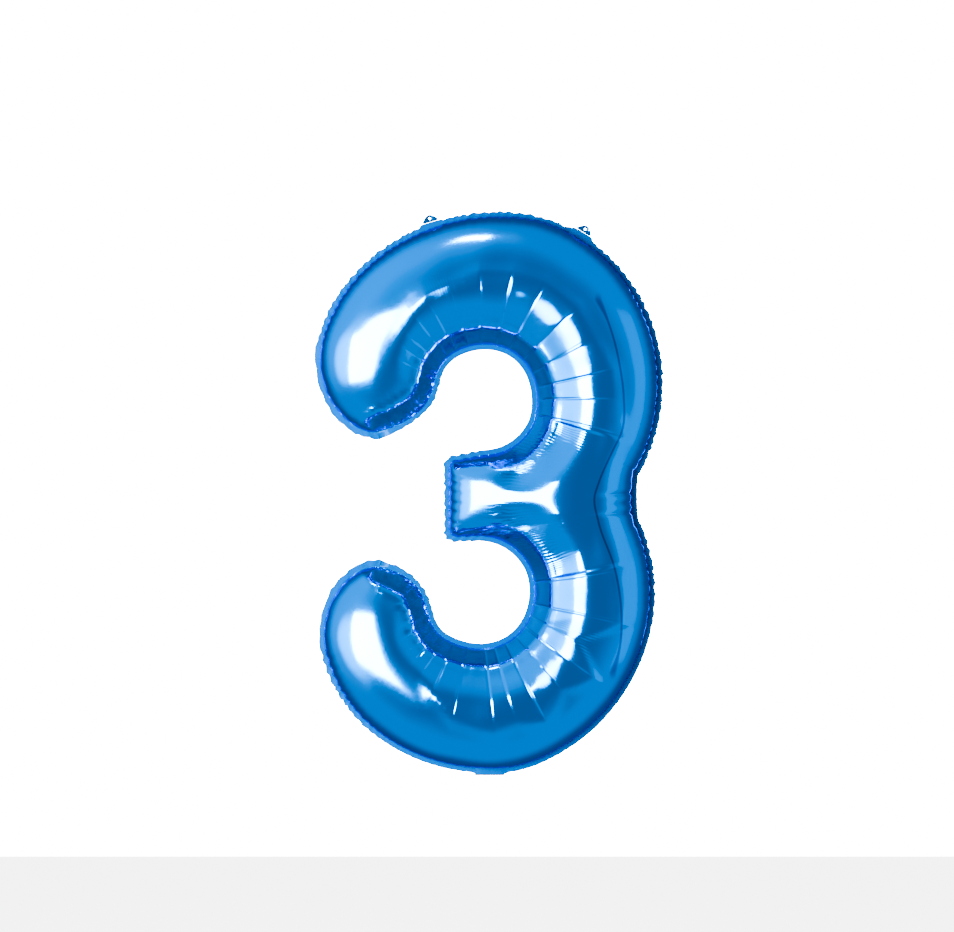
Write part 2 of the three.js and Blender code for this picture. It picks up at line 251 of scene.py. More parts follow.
def inside(points, loop):
    """Which points lie inside a closed loop of points."""
    x, z = points[:, 0], points[:, 1]
    within = np.zeros(len(points), bool)
    for a, b in zip(loop, np.roll(loop, -1, axis=0)):
        if a[1] == b[1]:
            continue
        crosses = (a[1] > z) != (b[1] > z)
        within ^= crosses & (x < (b[0] - a[0]) * (z - a[1]) / (b[1] - a[1]) + a[0])
    return within


def nearest_on(points, path):
    """Distance to a path of points and the length along it, for each of many points."""
    start = path[:-1]
    step = path[1:] - start
    length = np.linalg.norm(step, axis=1)
    run = run_along(path)[:-1]
    distance = np.empty(len(points))
    along = np.empty(len(points))
    for i in range(0, len(points), 4000):
        p = points[i : i + 4000, None, :]
        t = np.clip(((p - start) * step).sum(-1) / np.maximum(length, 1e-9) ** 2, 0, 1)
        gap = np.linalg.norm(p - (start + t[..., None] * step), axis=-1)
        k = gap.argmin(1)
        pick = np.arange(len(k))
        distance[i : i + 4000] = gap[pick, k]
        along[i : i + 4000] = run[k] + t[pick, k] * length[k]
    return distance, along


INNER_0, OUTER_0 = ladder(0.0)
INNER, OUTER = ladder(FLANGE)
STATIONS = len(INNER)
WELD_LOOP = np.concatenate([INNER, OUTER[::-1]])


# ---------------------------------------------------------------- inflation
def sprung(distance):
    """How far the film has sprung up from the weld at a distance from it, from 0 to 1."""
    return 1 - np.exp(-distance / SOLVER["spring"])


def membrane():
    """Solves the screened membrane on a grid and returns a function that samples it smoothly."""
    low = WELD_LOOP.min(0) - 3 * CELL
    shape = np.ceil((WELD_LOOP.max(0) + 3 * CELL - low) / CELL).astype(int) + 1
    xs = low[0] + CELL * np.arange(shape[0])
    zs = low[1] + CELL * np.arange(shape[1])
    grid = np.stack(np.meshgrid(xs, zs, indexing="ij"), -1).reshape(-1, 2)
    within = inside(grid, WELD_LOOP).reshape(shape)
    loop = resample(np.concatenate([WELD_LOOP, WELD_LOOP[:1]]), 1200)
    gap, _ = nearest_on(grid, loop)
    signed = np.where(within, gap.reshape(shape), -gap.reshape(shape))
    # Distance to the weld along each grid direction, as a share of the cell, for cut cells.
    arms = []
    for axis, shift in ((0, 1), (0, -1), (1, 1), (1, -1)):
        other = np.roll(signed, -shift, axis)
        cut = within & (other <= 0)
        share = np.where(cut, signed / np.maximum(signed - other, 1e-6), 1.0)
        arms.append((axis, shift, np.clip(share, SOLVER["least"], 1), cut))
    height = np.zeros(shape)
    colour = np.add.outer(np.arange(shape[0]), np.arange(shape[1])) % 2
    weights = []
    total = np.full(shape, CELL**2 / BULGE_REACH**2)
    for k, (axis, shift, share, cut) in enumerate(arms):
        back = arms[k ^ 1][2]
        weight = 2 / (share * (share + back))
        total += weight
        weights.append(np.where(cut, 0, weight))
    for _ in range(SOLVER["sweeps"]):
        for shade in (0, 1):
            pull = np.full(shape, CELL**2)
            for (axis, shift, _, _), weight in zip(arms, weights):
                pull += weight * np.roll(height, -shift, axis)
            update = within & (colour == shade)
            step = SOLVER["overshoot"] * (pull / total - height)
            height = np.where(update, height + step, height)
    # Height over spring is smooth right up to the weld, so that is what is spread and sampled.
    known = signed > SOLVER["near"]
    ratio = np.where(known, height / np.maximum(sprung(np.maximum(signed, 0)), 1e-6), 0)
    for _ in range(SOLVER["spread"]):
        total_near = np.zeros(shape)
        count = np.zeros(shape)
        for axis in (0, 1):
            for shift in (1, -1):
                total_near += np.roll(ratio * known, shift, axis)
                count += np.roll(known, shift, axis)
        fresh = ~known & (count > 0)
        ratio = np.where(fresh, total_near / np.maximum(count, 1), ratio)
        known |= fresh

    def weights_of(t):
        return (
            -0.5 * t + t * t - 0.5 * t**3,
            1 - 2.5 * t * t + 1.5 * t**3,
            0.5 * t + 2 * t * t - 1.5 * t**3,
            -0.5 * t * t + 0.5 * t**3,
        )

    def sample(points, distance):
        at = (points - low) / CELL
        base = np.floor(at).astype(int)
        wx = weights_of(at[:, 0] - base[:, 0])
        wz = weights_of(at[:, 1] - base[:, 1])
        value = np.zeros(len(points))
        for i in range(4):
            for j in range(4):
                value += wx[i] * wz[j] * ratio[base[:, 0] + i - 1, base[:, 1] + j - 1]
        return np.maximum(0, value * sprung(distance))

    return sample


SHARE = (1 - np.cos(np.pi * np.arange(ROWS + 1) / ROWS)) / 2
FLAT = INNER[:, None, :] + (OUTER - INNER)[:, None, :] * SHARE[None, :, None]
POINTS = FLAT.reshape(-1, 2)
D_INNER, S_INNER = nearest_on(POINTS, INNER)
D_OUTER, S_OUTER = nearest_on(POINTS, OUTER)


def bowl_share(points):
    """1 beside an inside curve, 0 along the arm's straight edges and its end."""
    x = points[:, 0]
    z = points[:, 1]
    left = np.clip((ARM_ZONE["right"] - x) / ARM_ZONE["fade"], 0, 1)
    level = np.clip((ARM_ZONE["reach"] - np.abs(z - WAIST["z"])) / ARM_ZONE["soft"], 0, 1)
    return 1 - left * level


SAMPLE = membrane()


def waves_along(along, count, long, short, seed):
    """Random waves along a length, between two wavelengths, about -1 to 1."""
    rng = np.random.default_rng(seed)
    value = np.zeros(len(along))
    for _ in range(count):
        length = math.exp(rng.uniform(math.log(short), math.log(long)))
        value += np.sin(along * 2 * math.pi / length + rng.uniform(0, 2 * math.pi))
    return value / math.sqrt(count)


def slack(along):
    """Where the film beside the inner weld is loose: 1 at the free ends and beside the arm."""
    total = along.max()
    from_end = np.minimum(along, total - along)
    from_middle = np.abs(along - total / 2)
    return np.maximum(1 - ramp(from_end, *LOOSE["end"]), 1 - ramp(from_middle, *LOOSE["arm"]))


def lesser(a, b, blend):
    """The smaller of two values, rounded off where they are nearly equal."""
    t = np.clip(0.5 + 0.5 * (b - a) / blend, 0, 1)
    return b + (a - b) * t - blend * t * (1 - t)


def bulge(points, distance, from_inner, flat_top):
    """Height of the film above the plane of the weld, with the wall and kink of inside curves."""
    full = FULLNESS * np.sqrt(2 * SAMPLE(points, distance))
    full = full * np.sqrt(1 - np.exp(-from_inner / EDGE_SOFTNESS))
    full = full + flat_top * np.maximum(0, PLATEAU - full)
    foot = WALL["height"] * np.minimum(1, from_inner / WALL["out"])
    beyond = from_inner - WALL["out"]
    straight = foot + WALL["slope"] * np.maximum(0, beyond)
    turn = np.clip((from_inner - SHOULDER["out"]) / SHOULDER["reach"], 0, 1)
    easing = (SHOULDER["last"] - SHOULDER["first"]) / 2
    risen = SHOULDER["reach"] * (SHOULDER["first"] * turn + easing * turn**2)
    risen += SHOULDER["last"] * np.maximum(0, from_inner - SHOULDER["out"] - SHOULDER["reach"])
    rounded = foot + WALL["slope"] * np.clip(beyond, 0, SHOULDER["out"] - WALL["out"])
    wall = rounded + risen + flat_top * (straight - rounded - risen)
    loose = BEAD["tight"] + (1 - BEAD["tight"]) * slack(S_INNER)
    out = BEAD["out"] + BEAD["wander"] * loose * waves_along(S_INNER, 9, 60, 16, 91)
    uneven = BEAD["uneven"] * loose * waves_along(S_INNER, 9, 26, 9, 92)
    rise = BEAD["rise"] * (BEAD["least"] + BEAD["loose"] * loose + uneven)
    bead = rise * np.exp(-(((from_inner - out) / BEAD["half"]) ** 2))
    kinked = lesser(wall, full, WALL["blend"] - WALL["crisp"] * flat_top)
    return full + bowl_share(points) * (kinked + bead - full)


# ---------------------------------------------------------------- creases
# Creases that cross the inside curve of each bowl, from its weld out to near the crest:
# polar angle, radius where the crease ends, and how deep it is.
UPPER_CREASES = [
    (171, 130, 0.9), (163, 140, 1.1), (155, 146, 1.0), (147, 152, 1.2), (139, 158, 1.2),
    (130, 166, 1.2), (119, 178, 1.2), (105.5, 180, 1.3), (92.5, 193, 1.5), (76.5, 196, 1.5),
    (62.5, 199, 1.4), (45, 199, 1.5), (28.5, 190, 1.4), (13.1, 203, 1.4), (0.5, 203, 1.3),
    (-15.5, 216, 2.6),
]
LOWER_CREASES = [
    (11, 218, 2.4), (-11.5, 226, 1.5), (-24, 160, 0.8), (-36, 221, 1.5), (-49, 193, 1.0),
    (-61.8, 223, 1.6), (-74, 206, 1.2), (-84, 213, 1.5), (-101.5, 195, 1.3), (-116, 166, 1.2),
    (-125.5, 150, 1.1), (-133.5, 146, 1.1), (-141, 143, 1.1), (-148.5, 138, 1.0), (-157, 130, 1.0),
    (-166, 124, 0.9),
]
BACK_SHIFT = 3.0  # degrees
CREASE_HALF = 2.4  # half width of a crease's valley
CREASE_DEPTH = 0.75  # share of the listed depths
FACET_TILT = 0.055  # how much each facet leans its own way
# Radii between which facets begin, and how far from their creases' ends they die away.
FACET_ZONE = {"start": (86, 95), "lean": (108, 128), "end": (-9, 3), "lean_end": 20}
CREASE_BEND = {"degrees": 0.9, "from": 90, "length": 45.0}  # creases curve a little


def round_bowl(points, bowl):
    """Polar angle and radius about a bowl's centre; angles run on past 180 on the bowl's own side."""
    offset = points - np.array(bowl["centre"])
    radius = np.linalg.norm(offset, axis=1)
    angle = np.degrees(np.arctan2(offset[:, 1], offset[:, 0]))
    if bowl["end"]["tip"] > 0:
        angle = np.where(angle < -110, angle + 360, angle)
    else:
        angle = np.where(angle > 110, angle - 360, angle)
    return angle, radius


def facets(points, bowl, listed, jitter):
    """What one bowl's creases do: how much further out each point's height is taken from, which
    flattens the film between neighbours, the depth of their valleys, the height of the crest where
    they end, and each facet's lean."""
    angle, radius = round_bowl(points, bowl)
    at = np.array([c[0] for c in listed], float)
    at = at + jitter * np.sin(7.1 * np.arange(len(at)))
    ends = np.array([c[1] for c in listed], float)
    deeps = np.array([c[2] for c in listed], float)
    order = np.argsort(at)
    at, ends, deeps = at[order], ends[order], deeps[order]
    bend = CREASE_BEND["degrees"] * np.sin(2.3 * np.arange(len(at)) + 1)
    k = np.clip(np.searchsorted(at, angle) - 1, 0, len(at) - 2)
    swing = np.sin((radius - CREASE_BEND["from"]) / CREASE_BEND["length"])
    left = at[k] + bend[k] * swing
    right = at[k + 1] + bend[k + 1] * swing
    share = np.clip((angle - left) / np.maximum(right - left, 1e-6), 0, 1)
    half = np.radians(np.maximum(right - left, 1e-6)) / 2
    sag = np.cos(half * (2 * share - 1)) / np.cos(half) - 1
    covered = (angle > at[0] - 2) & (angle < at[-1] + 2)
    end = ends[k] + (ends[k + 1] - ends[k]) * share
    early, late = FACET_ZONE["end"]
    weight = covered * (1 - ramp(radius, end + early, end + late)) * ramp(radius, *FACET_ZONE["start"])
    further = weight * radius * sag
    flat_radius = radius * (1 + covered * sag)
    before = np.clip(1 - (end - flat_radius) / CREST["inside"], 0, 1)
    beyond = np.clip(1 - (flat_radius - end) / CREST["outside"], 0, 1) ** 1.3
    crest = covered * CREST["rise"] * np.where(flat_radius < end, before, beyond)
    # The crest dies away quickly beside the waist and slowly towards the bowl's free end.
    if bowl["end"]["tip"] > 0:
        fade = ramp(angle, at[0] - 2, at[0] + 6) * (1 - ramp(angle, at[-1] - 40, at[-1] - 5))
    else:
        fade = ramp(angle, at[0] + 5, at[0] + 40) * (1 - ramp(angle, at[-1] - 6, at[-1] + 2))
    valley = np.zeros(len(points))
    for crease, stop, deep, curve in zip(at, ends, deeps, bend):
        apart = np.radians(np.abs(angle - crease - curve * swing)) * radius
        side = np.clip(1 - apart / CREASE_HALF, 0, 1) ** 1.5
        reached = ramp(radius, 88, 100) * (1 - ramp(radius, stop - 14, stop))
        valley = np.maximum(valley, CREASE_DEPTH * deep * side * reached)
    leaning = np.sin(5.3 * k + 0.7) * (share - 0.5) * np.minimum(30, radius * half * 2)
    rising = np.sin(3.7 * k + 2.0) * (radius - 150) * 0.5
    tilt = FACET_TILT * (leaning + rising) * covered * ramp(radius, *FACET_ZONE["lean"])
    tilt = tilt * (1 - ramp(radius, end - FACET_ZONE["lean_end"], end))
    return further, valley, crest * fade, tilt


def waist_share(points):
    """1 between the two bowls' creased rings, right of the arm; 0 elsewhere."""
    upper = round_bowl(points, UPPER)[0]
    lower = round_bowl(points, LOWER)[0]
    below = np.clip((UPPER_CREASES[-1][0] - upper) / 2, 0, 1)
    above = np.clip((lower - LOWER_CREASES[0][0]) / 2, 0, 1)
    return below * above * ramp(points[:, 0], 75, 125)


def creased_height(seed):
    """The film's height with its facets, and the depth of the creases between them. Seed 0 is the
    front, where the creases are as listed; on the back they are shifted a little."""
    jitter = 0.0 if seed == 0 else BACK_SHIFT
    moved = POINTS.copy()
    valley = np.zeros(len(POINTS))
    crest = np.zeros(len(POINTS))
    tilt = np.zeros(len(POINTS))
    for bowl, listed in ((UPPER, UPPER_CREASES), (LOWER, LOWER_CREASES)):
        further, own, own_crest, own_tilt = facets(POINTS, bowl, listed, jitter)
        tilt += own_tilt
        crest = np.maximum(crest, own_crest)
        centre = np.array(bowl["centre"])
        offset = POINTS - centre
        radius = np.maximum(np.linalg.norm(offset, axis=1), 1e-6)
        moved += offset / radius[:, None] * further[:, None]
        valley = np.maximum(valley, own)
    step = np.linalg.norm(moved - POINTS, axis=1)
    from_inner = D_INNER + step
    distance = np.minimum(from_inner, D_OUTER)
    flat_top = waist_share(POINTS) * ramp(from_inner, 20, 40) * ramp(D_OUTER, 25, 75)
    sunk = np.maximum(0, np.abs(POINTS[:, 1] - WAIST["z"]) - SUNK["from"]) * SUNK["slope"]
    sunk = np.minimum(sunk, SUNK["most"])
    sunk *= flat_top * (1 - ramp(POINTS[:, 0], SUNK["start"], SUNK["stop"]))
    off_ridge = np.abs(POINTS[:, 1] - WAIST["z"])
    lower = 1 - ramp(POINTS[:, 0], ARM_RIDGE["start"], ARM_RIDGE["stop"])
    lower *= 1 - ramp(off_ridge, ARM_RIDGE["near"], ARM_RIDGE["far"])
    full = bulge(moved, distance, from_inner, flat_top) * (1 - ARM_RIDGE["share"] * lower)
    return full + crest + tilt - sunk, valley


HEIGHT = creased_height(0)[0]


# Seeds. Film, flange and heat seal share each weld's own, so that they ripple together.
PUCKER_SEED, OUTER_SEED, INNER_SEED = 11, 21, 22
WELD_FADE = 5.0  # how far the welds' puckers reach up the wall
# Creases that run in from the notch at the waist: height there, and how far in each one reaches.
NOTCH_CREASES = [(-2.4, 168), (-32, 166), (-17, 196)]
NOTCH = {"x": 226, "slope": 0.06, "half": 9, "deep": 2.2}


def edge_puckers(spots, reach, deep, width):
    """Depth pressed in by short creases from the inner weld, at the listed places along it."""
    depth = np.zeros(len(POINTS))
    for k, at in enumerate(spots):
        own_reach = reach * (0.55 + 0.9 * ((k * 0.618) % 1))
        own_deep = deep * (0.6 + 0.8 * ((k * 0.382) % 1))
        side = np.clip(1 - np.abs(S_INNER - at) / width, 0, 1)
        depth += own_deep * side**2 * ramp(D_INNER, 0, 4) * (1 - ramp(D_INNER, 6, own_reach))
    return depth


def spots_between(start, stop, spacing, seed):
    """Places along a weld, about evenly spaced."""
    rng = np.random.default_rng(seed)
    count = max(2, int((stop - start) / spacing))
    return np.linspace(start, stop, count) + rng.uniform(-0.3, 0.3, count) * spacing


def run_at(path, index):
    """Length along a path of points, up to one of them."""
    return np.linalg.norm(np.diff(path[: index + 1], axis=0), axis=1).sum()


def place_on(path, point):
    """Length along a path at its point nearest to a given one."""
    return run_at(path, int(np.linalg.norm(path - np.array(point), axis=1).argmin()))


def waves(points, count, long, short, seed):
    """Soft random waves between two wavelengths, about -1 to 1."""
    rng = np.random.default_rng(seed)
    value = np.zeros(len(points))
    for _ in range(count):
        length = math.exp(rng.uniform(math.log(short), math.log(long)))
        turn = rng.uniform(0, 2 * math.pi)
        way = np.array([math.cos(turn), math.sin(turn)]) * 2 * math.pi / length
        value += np.sin(points @ way + rng.uniform(0, 2 * math.pi))
    return value / math.sqrt(count)


def crinkle(along, seed):
    """Puckers along a weld that has shrunk: uneven, about -1 to 1, some 13 mm long."""
    rng = np.random.default_rng(seed)
    total = along.max() + 1
    places = np.cumsum(rng.uniform(3.5, 10.5, int(total / 6)))
    signs = np.where(np.arange(len(places)) % 2 == 0, 1.0, -1.0)
    values = signs * rng.uniform(0.25, 1.0, len(places))
    k = np.clip(np.searchsorted(places, along) - 1, 0, len(places) - 2)
    t = np.clip((along - places[k]) / (places[k + 1] - places[k]), 0, 1)
    t = t * t * (3 - 2 * t)
    return values[k] + (values[k + 1] - values[k]) * t


def outer_mask(along):
    """Where the outer weld is puckered: everywhere but the lower right."""
    start = place_on(OUTER, polar(LOWER["centre"], -8.0, 269.0))
    stop = place_on(OUTER, polar(LOWER["centre"], -128.0, 269.0))
    smooth = ramp(along, start - 20, start + 30) * (1 - ramp(along, stop - 40, stop + 20))
    notch = place_on(OUTER, (WAIST["x"], WAIST["z"]))
    waist = 1 - ramp(np.abs(along - notch), 35, 70)
    return (1 - 0.8 * smooth) * (1 - 0.8 * waist)


def inner_mask(along):
    """Where the inner weld is puckered: the arm and the two free ends."""
    first = place_on(INNER, polar(UPPER["centre"], 158.0, 86.0))
    last = place_on(INNER, polar(LOWER["centre"], -156.0, 88.0))
    arm_start = place_on(INNER, (-8, ARM["top"]))
    arm_stop = place_on(INNER, (-14, ARM["bottom"]))
    ends = 1 - ramp(along, first - 10, first + 25) + ramp(along, last - 25, last + 10)
    arm = ramp(along, arm_start - 25, arm_start + 5) * (1 - ramp(along, arm_stop - 5, arm_stop + 25))
    return np.clip(ends + 0.9 * arm, 0, 1)


def pucker_groups():
    """Short creases along the arm's edges and round the two free ends. Each group: where it starts
    and stops along the inner weld, its spacing, and its creases' reach, depth and half width."""
    left, top, bottom = ARM["left"], ARM["top"], ARM["bottom"]
    first = place_on(INNER, polar(UPPER["centre"], 150.0, 86.0))
    last = place_on(INNER, polar(LOWER["centre"], -150.0, 88.0))
    total = run_at(INNER, STATIONS - 1)
    return [
        (place_on(INNER, (8, 66)), place_on(INNER, (left + 12, top)), 16, 58, 1.3, 3.2),
        (place_on(INNER, (left, top - 14)), place_on(INNER, (left, bottom + 14)), 12, 22, 1.3, 6.0),
        (place_on(INNER, (left + 12, bottom)), place_on(INNER, (24, -88)), 7.5, 44, 1.2, 3.0),
        (4, first, 9, 34, 3.0, 6.0),
        (last, total - 4, 10, 26, 2.4, 6.0),
    ]


def press(seed):
    """How far each mesh point is pressed in along the normal, in millimetres."""
    depth = creased_height(seed)[1]
    for k, (start, stop, spacing, reach, deep, width) in enumerate(pucker_groups()):
        spots = spots_between(start, stop, spacing, PUCKER_SEED + k + seed)
        depth += edge_puckers(spots, reach, deep, width)
    for z, x in NOTCH_CREASES:
        level = z + NOTCH["slope"] * (POINTS[:, 0] - NOTCH["x"])
        side = np.clip(1 - np.abs(POINTS[:, 1] - level) / NOTCH["half"], 0, 1) ** 2
        depth += NOTCH["deep"] * side * ramp(POINTS[:, 0], x - 14, x + 30)
    # Puckers of the two welds, dying away up the wall.
    for share, mask, along, away, own_seed in (
        (1.3, outer_mask, S_OUTER, D_OUTER, OUTER_SEED),
        (0.9, inner_mask, S_INNER, D_INNER, INNER_SEED),
    ):
        depth += share * mask(along) * crinkle(along, own_seed + seed) * np.exp(-away / WELD_FADE)
    # Soft unevenness of a thin film.
    depth += 0.4 * waves(POINTS, 24, 190, 60, 31 + seed) * ramp(HEIGHT, 4, 30)
    return depth


def grid_normals(surface):
    along = np.gradient(surface, axis=0)
    across = np.gradient(surface, axis=1)
    normal = np.cross(along, across)
    return normal / np.maximum(np.linalg.norm(normal, axis=-1, keepdims=True), 1e-9)


def film(seed, side):
    """Points of one foil sheet: rows of flange, film, flange for every station."""
    surface = np.empty((STATIONS, ROWS + 1, 3))
    surface[..., 0] = FLAT[..., 0]
    surface[..., 2] = FLAT[..., 1]
    surface[..., 1] = side * creased_height(seed)[0].reshape(STATIONS, ROWS + 1)
    normal = grid_normals(surface)
    facing = np.sign((normal[..., 1:2] * side).mean())
    depth = press(seed).reshape(STATIONS, ROWS + 1, 1)
    depth[:, [0, -1]] = 0
    surface = surface - normal * facing * depth
    surface[..., 1] = side * np.maximum(0, side * surface[..., 1])
    return surface


FAR = 1000  # added to a distance to rule a point out
SCALLOP = 0.22  # how much a pucker moves the flange's edge in or out, as a share of its width
RIPPLE = {"height": 0.4, "steep": 1.6}
WIDER = {"end": 0.35, "tail": 0.30}  # as shares of the flange's width


def flange_strip(weld, edge, along, mask, seed, wide):
    """Points across one flange from the weld out, rippled where the weld has shrunk."""
    wave = crinkle(along, seed) * mask
    rows = []
    for share in FLANGE_SHARES:
        stretch = (SCALLOP * wave[:, None] + wide[:, None]) * share
        flat = weld + (edge - weld) * share * (1 + stretch)
        ripple = RIPPLE["height"] * wave * min(1, RIPPLE["steep"] * share)
        rows.append(np.stack([flat[:, 0], ripple, flat[:, 1]], -1))
    return np.stack(rows, 1)


def tab_reach():
    """How near each outer edge point is to a hanging tab, and how far the flange grows out to it."""
    angle, radius = round_bowl(OUTER_0, UPPER)
    near = np.zeros(len(OUTER_0))
    growth = np.zeros(len(OUTER_0))
    for at, fold, _ in TABS.values():
        below = OUTER_0[:, 1] < UPPER["centre"][1]
        apart = np.abs(np.radians(angle - at)) * radius + FAR * below
        here = 1 - ramp(apart, TAB["width"] / 2 + 0.5, TAB["width"] / 2 + 8)
        near = np.maximum(near, here)
        line = fold / np.cos(np.clip(np.radians(angle - at), -0.5, 0.5))
        growth = np.maximum(growth, here * (line - TAB_SEAM - radius) / FLANGE)
    return near, growth


def from_tail():
    """How far each outer station is to the side of the filling tail."""
    return np.abs(OUTER[:, 0] - TAIL_X) + FAR * (OUTER[:, 1] > LOWER["centre"][1])


def flange_rows():
    """The inner and outer flange, which are wider at the free ends, at the tail and at the tabs."""
    s_in, s_out = run_along(INNER), run_along(OUTER)
    wide_in = WIDER["end"] * (1 - ramp(np.minimum(s_in, s_in[-1] - s_in), 20, 80))
    wide = WIDER["end"] * (1 - ramp(np.minimum(s_out, s_out[-1] - s_out), 60, 150))
    wide = np.maximum(wide, WIDER["tail"] * (1 - ramp(from_tail(), 21, 29)))
    near_tab, growth = tab_reach()
    wide = np.maximum(wide, growth)
    inner = flange_strip(INNER, INNER_0, s_in, inner_mask(s_in), INNER_SEED, wide_in)
    puckered = outer_mask(s_out) * (1 - near_tab)
    outer = flange_strip(OUTER, OUTER_0, s_out, puckered, OUTER_SEED, wide)
    return inner, outer


# ---------------------------------------------------------------- placing
def figure_offset():
    """The drawing's middle in the frame, from the CAD panel's box."""
    low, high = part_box("front_foil_panel")
    both = np.concatenate([INNER_0, OUTER_0])
    middle = (both.min(0) + both.max(0)) / 2
    return np.array([
        (low[0] + high[0]) / 2 - middle[0] * MM,
        0.0,
        (low[2] + high[2]) / 2 - middle[1] * MM,
    ])


OFFSET = figure_offset()


def to_frame(points):
    return np.asarray(points, float) * MM + OFFSET


def mesh_object(name, vertices, faces, uv=None, smooth=True):
    mesh = bpy.data.meshes.new(name)
    mesh.from_pydata([tuple(v) for v in vertices], [], [tuple(int(i) for i in f) for f in faces])
    if uv is not None:
        layer = mesh.uv_layers.new(name="stroke")
        index = np.empty(len(mesh.loops), int)
        mesh.loops.foreach_get("vertex_index", index)
        layer.data.foreach_set("uv", np.asarray(uv)[index].ravel())
    mesh.validate()
    mesh.polygons.foreach_set("use_smooth", [smooth] * len(mesh.polygons))
    mesh.update()
    obj = bpy.data.objects.new(name, mesh)
    bpy.context.collection.objects.link(obj)
    return obj


def grid_faces(rows, columns, flip=False):
    index = np.arange(rows * columns).reshape(rows, columns)
    quads = np.stack([index[:-1, :-1], index[:-1, 1:], index[1:, 1:], index[1:, :-1]], -1)
    quads = quads.reshape(-1, 4)
    return quads[:, ::-1] if flip else quads


def sharpen(obj, columns, listed):
    """Makes the edges along the listed columns of a grid sharp, so that shading breaks there."""
    ends = np.empty(len(obj.data.edges) * 2, int)
    obj.data.edges.foreach_get("vertices", ends)
    column = ends.reshape(-1, 2) % columns
    sharp = (column[:, 0] == column[:, 1]) & np.isin(column[:, 0], listed)
    layer = obj.data.attributes.new("sharp_edge", "BOOLEAN", "EDGE")
    layer.data.foreach_set("value", sharp)


def thicken(obj, thickness, offset):
    solidify = obj.modifiers.new("thickness", "SOLIDIFY")
    solidify.thickness = thickness * MM
    solidify.offset = offset
    solidify.use_rim = True


# The long crease down the right side, where the flattened film over the bowls and the waist ends. It is
# drawn only as painted shade, a darker line in the film's colour: height, and how far to the right it is
# there.
FOLD_LINE = [
    (297, 171), (268, 184), (196, 204), (150, 210), (92, 207), (65, 194), (13, 171), (-7, 165),
    (-46, 171), (-121, 197), (-196, 207), (-240, 205), (-281, 194),
]
# shade: how strongly the film's colour is darkened along the crease, as painted shade in the fold.
FOLD = {"half": 2.6, "end_half": 5.0, "end": 22.0, "shade": 0.7, "from": 100, "far": 9.0}


def fold_marks():
    """Distance from the long crease, in its own half widths, and how strong the painted shade along it is
    there.
    """
    height = POINTS[:, 1]
    low_end, high_end = FOLD_LINE[-1][0], FOLD_LINE[0][0]
    from_end = np.minimum(height - low_end, high_end - height)
    half = FOLD["half"] + FOLD["end_half"] * np.exp(-((from_end / FOLD["end"]) ** 2))
    gap = (POINTS[:, 0] - smooth_through(FOLD_LINE, height)) / half
    strong = ramp(from_end, -14, 4) * (POINTS[:, 0] > FOLD["from"])
    return np.clip(gap, -FOLD["far"], FOLD["far"]), FOLD["shade"] * strong


# Patches of fine ribs: bowl, polar angle, radius and reach to either side in degrees.
RIB_GROUPS = [
    (UPPER, 70, 150, 9), (UPPER, 54, 155, 9), (UPPER, 37, 158, 9),
    (UPPER, 111, 160, 8), (UPPER, 21, 165, 7), (UPPER, -22, 150, 8), (UPPER, -40, 118, 16),
    (UPPER, -62, 116, 18), (LOWER, 0, 160, 12), (LOWER, -24, 175, 12), (LOWER, -49, 168, 9),
    (LOWER, 35, 122, 20), (LOWER, 66, 118, 20),
]
RIB_DEPTH = 24  # how far a patch reaches across the stroke


def rib_mask():
    """How strong the fine ribs across the stroke are, from 0 to 1."""
    mask = np.zeros(len(POINTS))
    for bowl, at, radius_at, wide in RIB_GROUPS:
        angle, radius = round_bowl(POINTS, bowl)
        apart = np.abs((angle - at + 180) % 360 - 180)
        here = np.clip(1 - (apart / wide) ** 2, 0, 1)
        here = here * np.exp(-(((radius - radius_at) / RIB_DEPTH) ** 2))
        mask = np.maximum(mask, here)
    return mask


def mark_points(obj, name, film_values, flange_value):
    """A number at every point of a sheet: one for each point of the film, one for all the flange."""
    values = np.full((STATIONS, ROWS + 1 + 2 * FLANGE_ROWS), float(flange_value))
    values[:, FLANGE_ROWS:-FLANGE_ROWS] = np.reshape(film_values, (STATIONS, ROWS + 1))
    layer = obj.data.attributes.new(name, "FLOAT", "POINT")
    layer.data.foreach_set("value", values.ravel())


def build_film(name, seed, side, node):
    """One foil sheet with its flanges, and the point values that its material reads."""
    body = film(seed, side)
    inner, outer = flange_rows()
    inner = inner[:, ::-1].copy()
    inner[..., 1] += side * SHEET_GAP
    # The two sheets part a little where the valve passes between them.
    lift = SHEET_GAP + (VALVE_GAP - SHEET_GAP) * (1 - ramp(from_tail(), TAIL_HALF, TAIL_HALF + 9))
    outer[..., 1] += side * lift[:, None]
    body[..., 1] += side * (SHEET_GAP + (lift - SHEET_GAP)[:, None] * SHARE[None, :] ** 4)
    whole = np.concatenate([inner, body, outer], 1)
    columns = whole.shape[1]
    run = run_along((INNER + OUTER) / 2)
    across = np.cumsum(np.linalg.norm(np.diff(whole, axis=1, prepend=whole[:, :1]), axis=-1), 1)
    uv = np.stack([np.repeat(run[:, None], columns, 1), across], -1).reshape(-1, 2) * MM
    faces = grid_faces(STATIONS, columns, flip=side > 0)
    obj = mesh_object(name, to_frame(whole.reshape(-1, 3)), faces, uv)
    fold, fold_shade = fold_marks()
    mark_points(obj, "ribs", rib_mask(), 0)
    mark_points(obj, "fold", fold, FOLD["far"])
    mark_points(obj, "fold_shade", fold_shade, 0)
    mark_points(obj, "pressed", np.zeros(len(POINTS)), 1)
    sharpen(obj, columns, [0, FLANGE_ROWS, FLANGE_ROWS + ROWS, columns - 1])
    weld_tips(obj)
    thicken(obj, FILM_THICKNESS, -1)
    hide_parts(node)
    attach(obj, "balloon")
    return obj


